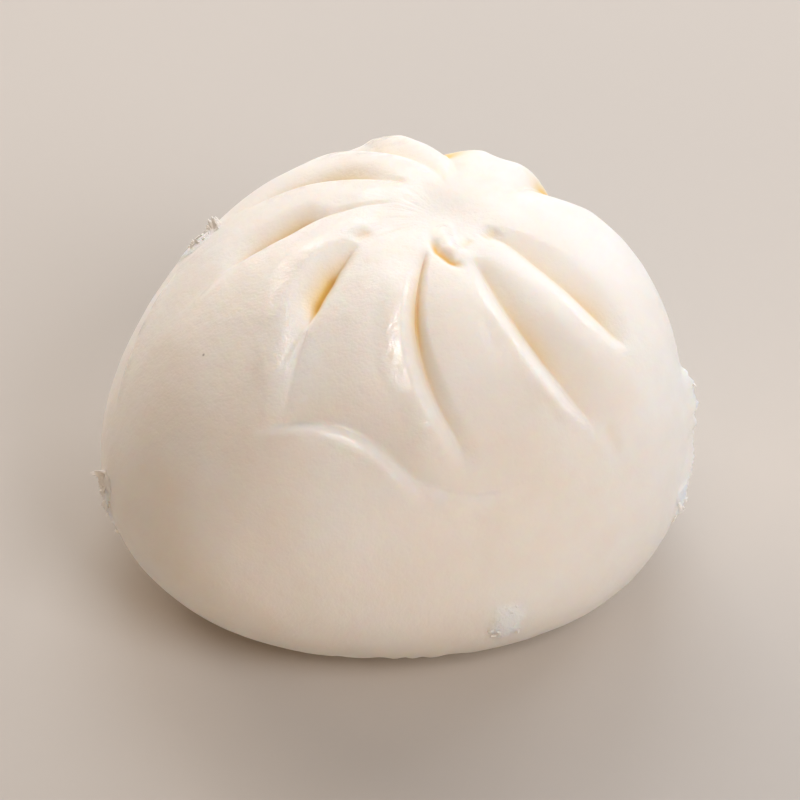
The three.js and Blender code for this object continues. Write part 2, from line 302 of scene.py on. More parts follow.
@dataclass(frozen=True)
class SteamedDough:
    """Steamed wheat dough: a skin of set starch, smooth and a little moist, that light sinks into.

    Steam sets the skin, so it has a soft satin sheen that fine pores break up. The dough under it
    scatters light for a millimetre or two, which rounds off the shadows and turns them warm, and in
    a deep fold the light bounces on until it is yellow; that yellow is painted into the colour of
    the creases too, as painted warm shade. Where the skin is damp, patches of a thin film of water
    with fine beads glint. Pores and beads are too fine to show at their real size, a third of this,
    so they are drawn coarser.
    """

    name: str = "steamed_wheat_dough"
    flesh: str = "#f8f1e8"
    shade: str = "#f3eadd"
    # Painted warm shade: the yellow that the creases are tinted with.
    painted_crease_shade: str = "#f0c96e"
    torn: str = "#fefaf3"
    speck: str = "#6b5138"
    speck_radius: float = 0.22
    speck_edge: Span = (0.6, 1.4)
    speck_strength: float = 0.6
    sheen_roughness: float = 0.4
    torn_roughness: float = 0.72
    mottle: float = 0.12
    refraction: float = 1.42
    specular_level: float = 0.2
    scatter_weight: float = 0.85
    scatter_radii: tuple[float, float, float] = (2.2, 1.6, 1.1)
    clouds: Grain = Grain(16.0)
    cloud_limits: Span = (0.3, 0.7)
    pores: Grain = Grain(0.45, depth=0.042, detail=4.0, roughness=0.6)
    torn_coarseness: float = 6.0
    ripples: Grain = Grain(1.8, depth=0.11)
    beads: Grain = Grain(0.7, depth=0.1, detail=2.0, roughness=0.45)
    patches: Grain = Grain(4.0)
    patch_limits: Span = (0.4, 0.6)
    damp_film: float = 0.96
    dry_film: float = 0.04
    film_roughness: float = 0.12
    film_refraction: float = 1.45

    def material(self, speck_at: np.ndarray | None = None) -> Material:
        """Make the material.

        Args:
            speck_at: The middle of a speck of bran on the skin, in millimetres, if there is one.

        Returns:
            The finished material.
        """
        material, tree, place = new_material(self.name)
        crease, torn, damp = (
            add_node(tree, "ShaderNodeAttribute", attribute_name=data.value).outputs["Fac"]
            for data in (SkinData.CREASE, SkinData.TORN, SkinData.DAMP))
        clouds, pores, ripples, beads, patches = (
            add_node(tree, "ShaderNodeTexNoise", {
                "Vector": place, "Scale": 1 / (grain.size * MM),
                "Detail": grain.detail, "Roughness": grain.roughness})
            for grain in (self.clouds, self.pores, self.ripples, self.beads, self.patches))
        cloudy, patchy = (
            add_node(tree, "ShaderNodeMapRange", {
                "Value": noise, "From Min": low, "From Max": high})
            for noise, (low, high) in ((clouds, self.cloud_limits), (patches, self.patch_limits)))

        # Painted warm shade: the crease attribute tints the creases yellow. The clouds, the torn
        # patches and the speck are the dough's own colour.
        tints = [(cloudy, self.shade), (crease, self.painted_crease_shade), (torn, self.torn)]
        if speck_at is not None:
            away = add_node(tree, "ShaderNodeVectorMath", {
                0: place, 1: tuple(speck_at * MM)}, operation="DISTANCE")
            inner, outer = (share * self.speck_radius * MM for share in self.speck_edge)
            dot = add_node(tree, "ShaderNodeMapRange", {
                "Value": away.outputs["Value"], "From Min": inner, "From Max": outer,
                "To Min": self.speck_strength, "To Max": 0.0})
            tints.append((dot, self.speck))
        colour = linear_colour(self.flesh)
        for share, tint in tints:
            colour = add_node(tree, "ShaderNodeMix", {
                0: share, 6: colour, 7: linear_colour(tint)}, data_type="RGBA").outputs[2]

        coarse = add_node(tree, "ShaderNodeMath", {
            0: torn, 1: self.torn_coarseness, 2: 1.0}, operation="MULTIPLY_ADD")
        pore_height = add_node(tree, "ShaderNodeMath", {
            0: pores, 1: self.pores.depth}, operation="MULTIPLY")
        pore_relief = add_node(tree, "ShaderNodeMath", {
            0: pore_height, 1: coarse}, operation="MULTIPLY")
        relief = add_node(tree, "ShaderNodeMath", {
            0: ripples, 1: self.ripples.depth, 2: pore_relief}, operation="MULTIPLY_ADD")
        bead_height = add_node(tree, "ShaderNodeMath", {
            0: damp, 1: self.beads.depth}, operation="MULTIPLY")
        film_relief = add_node(tree, "ShaderNodeMath", {
            0: beads, 1: bead_height, 2: relief}, operation="MULTIPLY_ADD")
        bump, film_bump = (
            add_node(tree, "ShaderNodeBump", {"Strength": 1.0, "Distance": MM, "Height": height})
            for height in (relief, film_relief))

        soaked = add_node(tree, "ShaderNodeMath", {
            0: damp, 1: self.damp_film, 2: self.dry_film}, operation="MULTIPLY_ADD")
        wet = add_node(tree, "ShaderNodeMath", {0: patchy, 1: soaked}, operation="MULTIPLY")
        gloss = add_node(tree, "ShaderNodeMapRange", {
            "Value": torn, "To Min": self.sheen_roughness, "To Max": self.torn_roughness})
        mottled = add_node(tree, "ShaderNodeMath", {
            0: pores, 1: self.mottle, 2: gloss}, operation="MULTIPLY_ADD")
        shader = add_node(tree, "ShaderNodeBsdfPrincipled", {
            "Base Color": colour,
            "Roughness": mottled,
            "Normal": bump,
            "IOR": self.refraction,
            "Specular IOR Level": self.specular_level,
            "Subsurface Weight": self.scatter_weight,
            "Subsurface Radius": self.scatter_radii,
            "Subsurface Scale": MM,
            "Coat Weight": wet,
            "Coat Roughness": self.film_roughness,
            "Coat IOR": self.film_refraction,
            "Coat Normal": film_bump,
        })
        add_node(tree, "ShaderNodeOutputMaterial", {"Surface": shader})
        return material


@dataclass(frozen=True)
class MattFinish:
    """A plain matt finish: its surface follows one grain, and so does its roughness if mottled."""

    name: str
    colour: str
    dullness: float
    grain: Grain
    mottle: float = 0.0
    refraction: float = 1.5

    def material(self) -> Material:
        """Make the material.

        Returns:
            The finished material.
        """
        material, tree, place = new_material(self.name)
        noise = add_node(tree, "ShaderNodeTexNoise", {
            "Vector": place, "Scale": 1 / (self.grain.size * MM), "Detail": self.grain.detail})
        height = add_node(tree, "ShaderNodeMath", {
            0: noise, 1: self.grain.depth}, operation="MULTIPLY")
        bump = add_node(tree, "ShaderNodeBump", {"Strength": 1.0, "Distance": MM, "Height": height})
        gloss: float | Node = self.dullness
        if self.mottle:
            gloss = add_node(tree, "ShaderNodeMath", {
                0: noise, 1: self.mottle, 2: self.dullness}, operation="MULTIPLY_ADD")
        shader = add_node(tree, "ShaderNodeBsdfPrincipled", {
            "Base Color": linear_colour(self.colour),
            "Roughness": gloss,
            "Normal": bump,
            "IOR": self.refraction,
        })
        add_node(tree, "ShaderNodeOutputMaterial", {"Surface": shader})
        return material


# Thin shreds of steamed dough that dried in the air: whiter and duller than the skin.
TORN_DOUGH = MattFinish(
    "torn_dry_dough", colour="#f8f3ea", dullness=0.62, mottle=0.16, refraction=1.42,
    grain=Grain(0.5, depth=0.03))

# Board with matt emulsion rolled on: pale, even and without gloss.
PAINTED_BOARD = MattFinish(
    "matt_painted_board", colour="#c6beb3", dullness=0.85, grain=Grain(3.0, depth=0.02, detail=2.0))


# ---- The plain form ------------------------------------------------------------------------------


@dataclass(frozen=True)
class PlainForm:
    """The bun's form without its pleats, as its solid has it."""

    belly_half_width: float = 45.0
    belly_half_depth: float = 43.5
    belly_height: float = 19.0
    height: float = 59.2
    foot_radius: float = 27.0
    crown_fullness: float = 2.27
    crown_ease: float = 40.0
    skirt_fullness: float = 2.0
    knot: Span = (8.2, 5.0)
    lean: Span = (7.6, 2.5)
    lean_power: float = 1.5
    knot_blend: float = 20.0
    knot_dish: float = 1.5
    knot_dish_radius: float = 7.0
    oval_share: float = 0.015
    oval_toward: float = 140.0
    three_sided_share: float = 0.04
    three_sided_toward: float = 95.0
    plan_middle: Span = (1.19, 1.71)
    lowest_found: float = -80.0

    def plan_share(self, bearing: np.ndarray) -> np.ndarray:
        """Give how far the plan stands out.

        Args:
            bearing: Bearings in degrees.

        Returns:
            The share of the belly's radius at each bearing, near 1.
        """
        oval = self.oval_share * np.cos(np.radians(2 * (bearing - self.oval_toward)))
        three_sided = np.cos(np.radians(3 * (bearing - self.three_sided_toward)))
        return 1 + oval + self.three_sided_share * three_sided

    def crown_power(self, slope: np.ndarray) -> np.ndarray:
        """Give the power of the upper profile: an ellipse at the belly, and fuller over it."""
        return 2 / (2 + (self.crown_fullness - 2) * smooth(0.0, self.crown_ease, slope))

    def radius_share(self, slope: np.ndarray) -> np.ndarray:
        """Give how far the profile is from the middle line.

        Args:
            slope: Slopes in degrees, 90 at the knot and -90 at the foot.

        Returns:
            The share of the belly's radius at each slope.
        """
        cosine = np.maximum(np.cos(np.radians(slope)), 0.0)
        foot = self.foot_radius / self.belly_half_width
        skirt = foot + (1 - foot) * cosine ** (2 / self.skirt_fullness)
        return np.where(slope >= 0, cosine ** self.crown_power(slope), skirt)

    def place(self, bearing: np.ndarray, slope: np.ndarray) -> np.ndarray:
        """Give places on the plain form.

        Args:
            bearing: Bearings in degrees.
            slope: Slopes in degrees, 90 at the knot and -90 at the foot.

        Returns:
            A row of x, y and z in millimetres for each, with the plan's middle on the origin.
        """
        bearing, slope = np.broadcast_arrays(bearing, slope)
        share = self.radius_share(slope)
        sine = np.abs(np.sin(np.radians(slope)))
        crown = slope >= 0
        climb = sine ** self.crown_power(slope)
        radius = share * self.belly_half_width
        away = smooth(0.0, self.knot_blend, radius)
        lean = climb ** self.lean_power * away
        dish = self.knot_dish * np.exp(-((radius / self.knot_dish_radius) ** 2))
        out = share * self.plan_share(bearing)
        x, y = (np.where(crown, to_knot * (1 - away) + to_lean * lean, 0.0) - middle
                for to_knot, to_lean, middle in zip(self.knot, self.lean, self.plan_middle))
        x = x + out * self.belly_half_width * np.cos(np.radians(bearing))
        y = y + out * self.belly_half_depth * np.sin(np.radians(bearing))
        over_belly = self.belly_height + (self.height - self.belly_height) * climb - dish
        under_belly = self.belly_height * (1 - sine ** (2 / self.skirt_fullness))
        return np.stack([x, y, np.where(crown, over_belly, under_belly)], axis=-1)

    def slope_at(self, bearing: np.ndarray, distance: np.ndarray, steps: int = 240) -> np.ndarray:
        """Find the slopes of places that are given by how far they are from the knot.

        Args:
            bearing: Bearings in degrees, in one row.
            distance: Distances from the knot over the skin, in one row.
            steps: The number of steps in which the way from the knot is measured.

        Returns:
            The slope of each place.
        """
        slopes = np.linspace(90.0, self.lowest_found, steps)
        paths = self.place(bearing[:, None], slopes[None, :])
        gone = np.cumsum(np.linalg.norm(np.diff(paths, axis=1), axis=-1), axis=1)
        return np.array([np.interp(way, row, slopes[1:]) for way, row in zip(distance, gone)])

    def normal(self, bearing: np.ndarray, slope: np.ndarray, step: float = 0.4) -> np.ndarray:
        """Give the outward normals of the plain form.

        Args:
            bearing: Bearings in degrees.
            slope: Slopes in degrees.
            step: How far to each side the form is compared, in degrees.

        Returns:
            A row of x, y and z for each place.
        """
        around = self.place(bearing + step, slope) - self.place(bearing - step, slope)
        above, below = np.minimum(slope + step, 90), np.maximum(slope - step, -90)
        normal = np.cross(around, self.place(bearing, above) - self.place(bearing, below))
        return normal / np.maximum(np.linalg.norm(normal, axis=-1, keepdims=True), 1e-12)


# ---- What the baker's fingers leave --------------------------------------------------------------


@dataclass(frozen=True)
class Spots:
    """Places on the skin, as arrays of one shape.

    bearing is from 0 to 360 degrees, and distance is from the knot over the skin. radius and height
    are the plain form's, from its middle line and over the floor.
    """

    bearing: np.ndarray
    distance: np.ndarray
    radius: np.ndarray
    height: np.ndarray

    @property
    def east(self) -> np.ndarray:
        """Give how far along X each place is, with the skin rolled out flat from the knot."""
        return self.distance * np.cos(np.radians(self.bearing))

    @property
    def north(self) -> np.ndarray:
        """Give how far along Y each place is, with the skin rolled out flat from the knot."""
        return self.distance * np.sin(np.radians(self.bearing))


@dataclass(frozen=True)
class Pleat:
    """One pleat's crease, with the steep wall of the lobe on top and the gentle one of the other.

    bearings are the crease's at three stations out from the knot. depth, steep and gentle are
    courses: the crease's depth and the widths of its two walls at distances from the knot. lap says
    which side is steep, and lip is how far that lobe's rolled edge stands up. lip_spans says where
    that edge begins, stands highest and ends, in widths of the steep wall.
    """

    bearings: tuple[float, float, float]
    lap: Lap
    depth: Course
    steep: Course
    gentle: Course
    lip: float = 0.0
    lip_grows: Span = (10.0, 22.0)
    stations: tuple[float, float, float] = (8.0, 24.0, 40.0)
    ease: float = 4.0
    shoulder: float = 1.9
    gentle_power: float = 1.6
    bottom: float = 0.3
    lip_spans: tuple[float, float, float] = (0.2, 1.0, 2.8)
    lip_gain: float = 2.0
    lobe_share: float = 0.75

    def bearing_at(self, distance: np.ndarray) -> np.ndarray:
        """Give the crease's bearing: a parabola through its stations, and straight on past them.

        Args:
            distance: Distances from the knot over the skin.

        Returns:
            The crease's bearing at each distance.
        """
        near, middle, far = self.stations
        first, second, third = self.bearings
        past = self.ease * (1 - np.exp(-np.maximum(distance - far, 0) / self.ease))
        short = self.ease * (1 - np.exp(-np.maximum(near - distance, 0) / self.ease))
        along = np.clip(distance, near, far) + past - short
        slope = (second - first) / (middle - near)
        bend = ((third - second) / (far - middle) - slope) / (far - near)
        return first + (along - near) * (slope + bend * (along - middle))

    def wall(
        self, side: Lap, distance: np.ndarray, across: np.ndarray, lobe_width: np.ndarray
    ) -> tuple[np.ndarray, np.ndarray]:
        """Give one of the pleat's walls.

        Args:
            side: The side of the crease that the wall is on.
            distance: Distances from the knot over the skin.
            across: Distances from the crease.
            lobe_width: The width of the lobe that the wall belongs to.

        Returns:
            Depths under the plain form, and shares of the rolled edge's height.
        """
        depth = follow(self.depth, distance)
        course = self.steep if side is self.lap else self.gentle
        width = np.minimum(follow(course, distance), self.lobe_share * lobe_width)
        inward = np.clip(1 - across / width, 0.0, 1.0)
        rounding = 1 - self.bottom * np.exp(-((across / self.bottom) ** 2))
        if side is not self.lap:
            return depth * inward ** self.gentle_power * rounding, np.zeros_like(depth)
        wall = 1 - (1 - inward ** self.shoulder) ** (1 / self.shoulder)
        begins, crest, ends = self.lip_spans
        edge = across / width
        rolled = smooth(begins, crest, edge) * (1 - smooth(crest, ends, edge))
        rolled = rolled * smooth(*self.lip_grows, distance)
        deepest = max(station[1] for station in self.depth)
        return depth * wall * rounding, rolled * np.minimum(self.lip_gain * depth / deepest, 1.0)


@dataclass(frozen=True)
class Roll:
    """A soft step where a lobe's skin rolls under itself."""

    start: float
    end: float
    lowest: float
    near: float
    rise: float
    depth: float
    above: float
    below: float
    ease: float = 12.0
    edge_at: float = 0.7

    def sink(self, spots: Spots) -> tuple[np.ndarray, np.ndarray]:
        """Give the step.

        Args:
            spots: Places on the skin.

        Returns:
            The step's depth, and how much of its rolled edge is at each place, from 0 to 1.
        """
        inside = between((self.start, self.end), self.ease, spots.bearing)
        across = spots.distance - self.near - self.rise * (spots.bearing - self.lowest) ** 2
        width = np.where(across < 0, self.above, self.below)
        edge = np.exp(-((across / self.below - self.edge_at) ** 2))
        return self.depth * inside * np.maximum(1 - np.abs(across) / width, 0.0) ** 2, inside * edge


@dataclass(frozen=True)
class Stroke:
    """A ridge or a crease along a bent line on the gathered top, in millimetres from the knot.

    It rises or sinks to its height over taper, a share of the line, from overrun past each end.
    """

    path: Course
    half: float
    height: float
    taper: float = 0.25
    overrun: float = 0.1

    def rise(self, spots: Spots) -> np.ndarray:
        """Give the line's height over the skin.

        Args:
            spots: Places on the skin.

        Returns:
            The height at each place, below 0 in a crease.
        """
        nearest = np.full(spots.distance.shape, np.inf)
        along = np.zeros_like(nearest)
        for leg, ((ax, ay), (bx, by)) in enumerate(zip(self.path, self.path[1:])):
            east, north = bx - ax, by - ay
            x, y = spots.east - ax, spots.north - ay
            share = np.clip((x * east + y * north) / math.hypot(east, north) ** 2, 0.0, 1.0)
            away = np.hypot(x - share * east, y - share * north)
            along = np.where(away < nearest, (leg + share) / (len(self.path) - 1), along)
            nearest = np.minimum(nearest, away)
        start, end = (smooth(-self.overrun, self.taper, way) for way in (along, 1 - along))
        return self.height * start * end * smooth(0.0, 1.0, 1 - nearest / self.half)


@dataclass(frozen=True)
class Flutes:
    """A row of small dents low on the skirt, where the dough set against the ribs of its rack."""

    start: float = 252.0
    end: float = 296.0
    ease: float = 14.0
    pitch: float = 6.2
    wander: float = 1.9
    wander_waves: float = 17.0
    sharpness: float = 3.0
    low: float = 3.5
    top: float = 8.0
    depth: float = 0.4

    def sink(self, spots: Spots) -> np.ndarray:
        """Give the dents' depth.

        Args:
            spots: Places on the skin.

        Returns:
            The depth at each place.
        """
        inside = between((self.start, self.end), self.ease, spots.bearing)
        wander = self.wander * np.sin(np.radians(self.wander_waves * spots.bearing))
        dent = np.abs(np.cos(np.pi * (spots.bearing + wander) / self.pitch)) ** self.sharpness
        return self.depth * inside * dent * (1 - smooth(self.low, self.top, spots.height))


@dataclass(frozen=True)
class Tear:
    """A rough patch, where the skin stuck to a neighbour and was pulled up.

    grain is the size of its lumps, and degree what a degree of bearing counts for in it, both in
    millimetres. edge says over which shares of its half sizes it fades out, ragged how far the
    lumps fray that edge, and even how much of its height they leave alone.
    """

    bearing: float
    half_span: float
    distance: float
    half_length: float
    height: float
    grain: float
    degree: float = 0.7
    edge: Span = (0.7, 1.1)
    ragged: float = 0.25
    even: float = 0.6

    def pull(self, spots: Spots) -> tuple[np.ndarray, np.ndarray]:
        """Pull the patch up.

        Args:
            spots: Places on the skin.

        Returns:
            How torn each place is, from 0 to 1, and its height over the skin.
        """
        across = turn(self.bearing, spots.bearing) / self.half_span
        along = (spots.distance - self.distance) / self.half_length
        ground = roughness(spots.bearing * self.degree / self.grain, spots.distance / self.grain)
        inside = 1 - smooth(*self.edge, np.hypot(across, along) + self.ragged * ground)
        return inside, self.height * inside * (self.even + (1 - self.even) * ground)


@dataclass(frozen=True)
class Flap:
    """A strip of skin that was pulled up along a line down the side, with a ragged edge.

    edge and height are courses: the bearing of the edge and how far it stands off, at distances
    from the knot. The skin climbs to the edge from lower bearings, hollow, and drops off behind it.
    The edge has notches and finer ones in them. The skin is torn from just before the edge to
    white_fades behind it, in drops, and the more so the further it stands off, over white_from.
    """

    edge: Course
    height: Course
    climb: float = 6.5
    hollow: float = 2.2
    drop: float = 1.2
    raggedness: float = 0.2
    notch: float = 1.7
    fine_notch: float = 0.68
    fine_share: float = 0.6
    white: float = 0.6
    white_fades: Span = (1.5, 3.0)
    white_from: Span = (0.1, 0.6)

    def pull(self, spots: Spots) -> tuple[np.ndarray, np.ndarray]:
        """Pull the strip up.

        Args:
            spots: Places on the skin.

        Returns:
            How torn each place is, from 0 to 1, and its height over the skin.
        """
        distance = spots.distance
        ragged = roughness(distance / self.notch, np.zeros_like(distance))
        fine = roughness(distance / self.fine_notch, np.ones_like(distance))
        turned = turn(follow(self.edge, distance), spots.bearing)
        across = np.radians(turned) * spots.radius + self.raggedness * ragged
        before = np.clip(1 + across / self.climb, 0.0, 1.0) ** self.hollow
        behind = 1 - smooth(0.0, self.drop, across)
        uneven = 1 + self.raggedness * (ragged + self.fine_share * fine)
        full = follow(self.height, distance) * uneven
        torn = smooth(-self.white, 0.0, across)
        torn = torn * (1 - smooth(*self.white_fades, across / self.drop))
        return torn * smooth(*self.white_from, full), full * np.where(across < 0, before, behind)


# ---- The skin ------------------------------------------------------------------------------------


@dataclass(frozen=True)
class Relief:
    """One layer of the skin's fine relief: the attribute that says where it lies, and its sizes.

    One along the spokes from the knot needs no size, because their coordinates have it already.
    """

    name: str
    mask: SkinData
    height: float
    detail: float
    size: float = 0.0
    along_spokes: bool = False


@dataclass
class PleatedSkin:
    """The bun itself: one closed skin with its pleats, its knot and its torn patches."""

    form: PlainForm = PlainForm()
    finish: SteamedDough = SteamedDough()
    name: str = "steamed_bun_skin"
    pleats: tuple[Pleat, ...] = (
        Pleat((41, 45, 49), Lap.AFTER,  # right back
              depth=((8, 0), (16, 0.7), (28, 3.2), (40, 2.4), (49, 0)),
              steep=((8, 1.5), (28, 8.5)), gentle=((8, 3.0), (28, 9.0)), shoulder=1.4),
        Pleat((62, 66, 69), Lap.AFTER,  # back tuck
              depth=((9, 0), (14, 0.35), (20, 0.2), (25, 0)),
              steep=((8, 1.6), (20, 2.0)), gentle=((8, 2.0), (20, 3.5))),
        Pleat((78, 85, 91), Lap.AFTER,  # back
              depth=((8, 0), (16, 0.7), (28, 3.0), (38, 2.2), (46, 0)),
              steep=((8, 1.5), (28, 4.0)), gentle=((8, 3.0), (28, 10.0)), gentle_power=1.1),
        Pleat((87, 106, 113), Lap.AFTER,  # left back
              depth=((6, 0), (13, 0.6), (26, 1.2), (41, 0)),
              steep=((8, 1.5), (26, 3.0)), gentle=((8, 2.5), (26, 6.0)), lip=0.2),
        Pleat((115, 136, 153), Lap.AFTER,  # far left
              depth=((8, 0), (12, 0.7), (21, 2.0), (28, 1.5), (37, 0)),
              steep=((8, 1.0), (22, 2.2)), gentle=((9, 1.2), (20, 5.0), (34, 6.0)), lip=0.15),
        Pleat((150, 172.5, 188), Lap.AFTER,  # left
              depth=((7, 0), (11, 0.5), (17, 0.8), (22, 2.3), (27, 1.6), (34, 0.3), (42, 0)),
              steep=((8, 0.8), (17, 1.0), (23, 2.4)),
              gentle=((10, 0.9), (16, 1.4), (22, 6.5), (34, 7.0)), lip=0.15),
        Pleat((191, 219, 235), Lap.AFTER,  # front left
              depth=((13, 0), (18, 1.8), (21, 2.8), (24.5, 2.6), (30, 0.6), (38, 0.35), (45, 0)),
              steep=((12, 1.4), (18, 2.4), (30, 2.4)),
              gentle=((12, 2.4), (19, 6.5), (24, 7.0), (32, 4.0)), gentle_power=2.3),
        Pleat((253, 263.0, 278.3), Lap.BEFORE,  # front
              depth=((8, 0), (12, 1.8), (22, 2.5), (30, 1.7), (38, 1.4), (42, 0.9), (46.5, 0)),
              steep=((8, 1.4), (18, 2.2), (30, 2.8), (40, 2.8)),
              gentle=((9, 1.2), (22, 2.0), (34, 3.4), (44, 4.0)), lip=0.5),
        Pleat((297, 303, 311.5), Lap.BEFORE,  # front right
              depth=((10, 0), (15, 1.2), (30, 1.7), (39, 1.2), (47, 0)),
              steep=((10, 1.8), (20, 2.8), (38, 3.2)),
              gentle=((10, 2.4), (22, 6.0), (40, 7.5)), lip=0.25),
        Pleat((334, 331, 333), Lap.BEFORE,  # right
              depth=((6, 0), (10, 1.0), (18, 1.2), (29, 1.6), (33, 1.3), (37, 0)),
              steep=((8, 1.6), (18, 2.8), (32, 2.8)),
              gentle=((6, 2.4), (20, 6.0), (30, 6.5), (36, 3.0)), lip=0.1),
    )
    rolls: tuple[Roll, ...] = (
        Roll(start=229, end=277, lowest=249, near=42.2, rise=0.013,
             depth=1.3, above=8, below=2.1),
        Roll(start=265, end=302, lowest=284, near=49.6, rise=-0.012,
             depth=0.65, above=5, below=2.6),
    )
    strokes: tuple[Stroke, ...] = (
        Stroke(half=2.1, height=0.65,  # knot roll
               path=((0.0, -1.0), (0.2, -4.2), (1.4, -7.6), (3.6, -9.9))),
        Stroke(half=1.1, height=-0.6,  # knot fold
               path=((-1.8, -5.3), (-0.7, -8.3), (1.5, -10.6), (3.9, -11.6))),
        Stroke(half=1.5, height=-0.25, path=((3.2, -7.6), (4.6, -5.2))),  # knot nick
        Stroke(half=2.4, height=-0.3, path=((6.4, -4.9), (7.4, -3.6), (8.6, -2.0))),  # right pocket
        Stroke(half=2.6, height=-0.28, path=((-13.4, -3.8), (-11.0, -2.2))),  # front left pocket
        Stroke(half=4.0, height=0.35,  # front left rim
               path=((-17.5, -2.4), (-21.5, -5.2), (-23.8, -14.8), (-26.1, -23.5), (-24.7, -33.0))),
        Stroke(half=0.8, height=0.2,  # front left seam
               path=((-17.6, -16.2), (-20.8, -21.2), (-23.4, -26.6))),
        Stroke(half=0.8, height=0.2, path=((-23.0, -34.1), (-20.2, -33.9))),  # front left tick
        Stroke(half=2.4, height=0.2,  # left lip
               path=((-26.0, 3.2), (-30.8, -0.3), (-36.0, -4.0), (-41.1, -7.2))),
        Stroke(half=8.0, height=0.12,  # front left sweat
               path=((-5.5, -10.5), (-9.0, -17.0), (-11.0, -25.0))),
        Stroke(half=1.6, height=0.25,  # left fold
               path=((-42.0, 12.5), (-46.2, 7.3), (-50.9, 1.3), (-54.9, -5.8), (-58.4, -12.4))),
        Stroke(half=1.9, height=0.35,  # front right ridge
               path=((18.0, -28.0), (23.5, -31.0), (27.6, -31.8), (30.5, -31.6))),
        Stroke(half=2.8, height=-0.3,  # front right dent
               path=((31.5, -30.2), (33.6, -30.2), (35.6, -31.4), (37.7, -33.0))),
        Stroke(half=11.0, height=0.8, path=((-2.0, 31.0), (-8.0, 30.0))),  # back left swell
    )
    tears: tuple[Tear, ...] = (
        Tear(bearing=343, half_span=4, distance=69.5, half_length=4, height=0.5, grain=1.6),
        Tear(bearing=198, half_span=5, distance=75, half_length=6, height=0.4, grain=1.8),
        Tear(bearing=155, half_span=5, distance=43, half_length=4, height=0.4, grain=1.6),
        Tear(bearing=294, half_span=3.4, distance=73, half_length=4.2, height=0.55, grain=1.5),
    )
    flaps: tuple[Flap, ...] = (
        Flap(edge=((48, 357), (60, 352), (72, 343)),
             height=((49.5, 0), (53, 1.9), (60, 1.6), (65, 1.4), (69, 0.5), (73, 0))),
    )
    flutes: Flutes = Flutes()
    reliefs: tuple[Relief, ...] = (
        Relief("Unevenness", SkinData.CALM, height=0.22, size=11.0, detail=1.0),
        Relief("Ripple", SkinData.CALM, height=0.12, size=4.5, detail=2.0),
        Relief("Wrinkle", SkinData.GATHER, height=0.16, detail=2.0, along_spokes=True),
        Relief("Torn Ground", SkinData.TORN, height=0.45, size=1.1, detail=3.0),
    )
    relief_seed: float = 3.0
    # How far the lobes swell between their creases, and over which distances from the knot.
    lobe_swell: float = 0.5
    swells_over: Span = (6.0, 20.0)
    swell_ends_over: Span = (27.6, 46.0)
    # All relief settles over this height above the floor, so that the foot is flat.
    settles_over: float = 1.5
    # The yellow of the creases is painted warm shade: the depth at which a crease is fully yellow,
    # how sharply it turns so, and how that fades.
    yellow_at: float = 2.0
    yellow_power: float = 2.0
    yellow_fade: float = 0.6
    yellow_fades: Span = (26.0, 40.0)
    # The depth of crease, for the painted warm shade, that a pinch of 1 mm counts for, the height
    # of lip that is fully damp, how damp a ridge of 1 mm would be, and how damp the gathered top
    # is.
    pinch_counts: float = 3.3
    lip_counts: float = 0.28
    ridge_counts: float = 3.5
    gather_counts: float = 0.6
    speck_bearing: float = 206.5
    speck_distance: float = 43.2
    # The mesh, and how closely its columns crowd at the creases and its rows at the knot.
    crown_rows: int = 150
    skirt_rows: int = 46
    columns: int = 480
    fewest_in_lobe: int = 24
    crease_crowding: float = 0.6
    knot_crowding: float = 1.3
    # The wrinkles round the knot: how many, how long, and where the top is gathered into them.
    wrinkle_spokes: float = 7.0
    wrinkle_length: float = 11.0
    gathers_over: Span = (2.5, 6.0)
    gather_ends_over: Span = (12.0, 19.0)
    gathered_toward: float = 165.0
    gather_eases_over: Span = (35.0, 80.0)
    least_gather: float = 0.25
    # The plain waves of the skin begin over these distances from the knot.
    calms_over: Span = (3.0, 12.0)
    # How thickly shreds stand at the rim of a torn patch, and inside it.
    frayed_rim: float = 4.0
    frayed_inside: float = 0.35

    def row_slopes(self) -> np.ndarray:
        """Lay out the rows, crowded at the knot.

        Returns:
            The slope of each row, from just below the knot to the foot.
        """
        crown = np.arange(1, self.crown_rows + 1) / self.crown_rows
        crown = 90 * (1 - crown ** self.knot_crowding)
        skirt = -90 * np.arange(1, self.skirt_rows + 1) / self.skirt_rows
        return np.concatenate([crown, skirt])

    def lobes(self) -> list[tuple[Pleat, Pleat, np.ndarray]]:
        """Lay out the lobes, with their columns crowded at the creases.

        Returns:
            For each lobe, the pleat before it, the pleat after it, and how far across it each of
            its columns runs, from 0 to 1.
        """
        laid_out = []
        for first, last in zip(self.pleats, self.pleats[1:] + self.pleats[:1]):
            span = (last.bearings[1] - first.bearings[1]) % 360
            count = max(round(self.columns * span / 360), self.fewest_in_lobe)
            even = np.arange(count) / count
            shares = even - self.crease_crowding * np.sin(2 * np.pi * even) / (2 * np.pi)
            laid_out.append((first, last, shares))
        return laid_out

    def columns_of(self, first: Pleat, last: Pleat, shares: np.ndarray) -> tuple[np.ndarray, ...]:
        """Follow the columns of one lobe out from the knot.

        Args:
            first: The pleat before the lobe.
            last: The pleat after it.
            shares: How far across the lobe each column runs, from 0 to 1.

        Returns:
            Bearing, distance, span and slope at each column and row.
        """
        slopes = self.row_slopes()
        distance = np.zeros(len(shares))
        last_slope = 90.0
        rows = []
        for slope in slopes:
            low = first.bearing_at(distance)
            bearing = low + (last.bearing_at(distance) - low) % 360 * shares
            step = self.form.place(bearing, slope) - self.form.place(bearing, last_slope)
            distance = distance + np.linalg.norm(step, axis=-1)
            last_slope = slope
            low = first.bearing_at(distance)
            span = (last.bearing_at(distance) - low) % 360
            rows.append((low + span * shares, distance, span))
        bearing, distance, span = (np.stack(values, axis=1) for values in zip(*rows))
        return bearing, distance, span, np.tile(slopes, (len(shares), 1))

